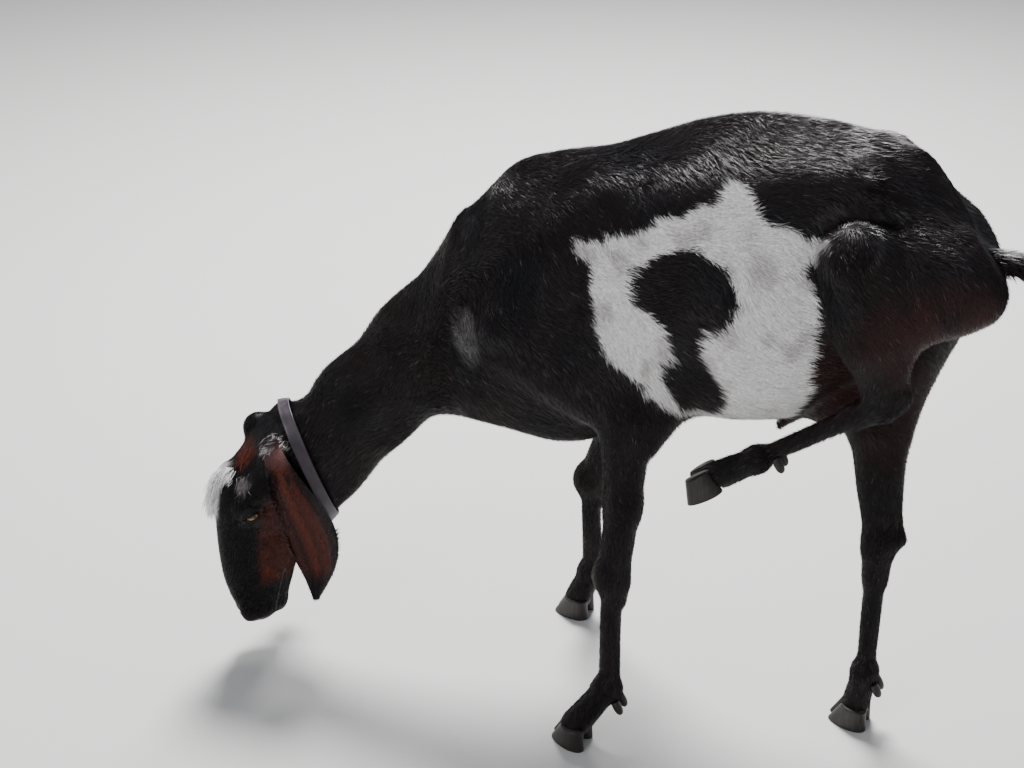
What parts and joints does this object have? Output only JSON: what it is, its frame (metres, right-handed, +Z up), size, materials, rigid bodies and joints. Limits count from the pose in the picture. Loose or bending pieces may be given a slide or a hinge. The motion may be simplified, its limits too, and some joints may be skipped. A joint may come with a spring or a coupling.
{
  "type": "goat",
  "caption": "Life-size lop-eared dairy goat with a short black, white and brown coat and a collar, head down grazing, the near hind leg lifted forward.",
  "frame": {"origin": "middle of the bounding box, on the floor under the feet", "axes": "+Z up; the goat faces -X, so its left side is towards -Y"},
  "size_m": [1.16, 0.3556, 0.9062],
  "materials": {
    "coat_black": "short glossy black hair",
    "coat_pied": "short black hair with white patches",
    "coat_brown": "short rufous brown hair",
    "hoof": "dull dark horn",
    "eye": "wet amber",
    "collar": "worn greyish purple strap"
  },
  "bodies": {
    "root": {"collar": "collar", "ear_left": "coat_brown", "ear_right": "coat_brown", "eye_left": "eye", "eye_right": "eye", "foreleg_left_claw_left": "hoof", "foreleg_left_claw_right": "hoof", "foreleg_left_dewclaw_left": "hoof", "foreleg_left_dewclaw_right": "hoof", "foreleg_left_lower": "coat_black", "foreleg_left_upper": "coat_black", "foreleg_right_claw_left": "hoof", "foreleg_right_claw_right": "hoof", "foreleg_right_dewclaw_left": "hoof", "foreleg_right_dewclaw_right": "hoof", "foreleg_right_lower": "coat_black", "foreleg_right_upper": "coat_black", "head": "coat_black", "hindleg_left_claw_left": "hoof", "hindleg_left_claw_right": "hoof", "hindleg_left_dewclaw_left": "hoof", "hindleg_left_dewclaw_right": "hoof", "hindleg_left_lower": "coat_black", "hindleg_left_upper": "coat_black", "hindleg_right_claw_left": "hoof", "hindleg_right_claw_right": "hoof", "hindleg_right_dewclaw_left": "hoof", "hindleg_right_dewclaw_right": "hoof", "hindleg_right_lower": "coat_black", "hindleg_right_upper": "coat_black", "neck": "coat_black", "tail": "coat_black", "trunk": "coat_pied", "udder": "coat_brown"}
  },
  "joints": []
}
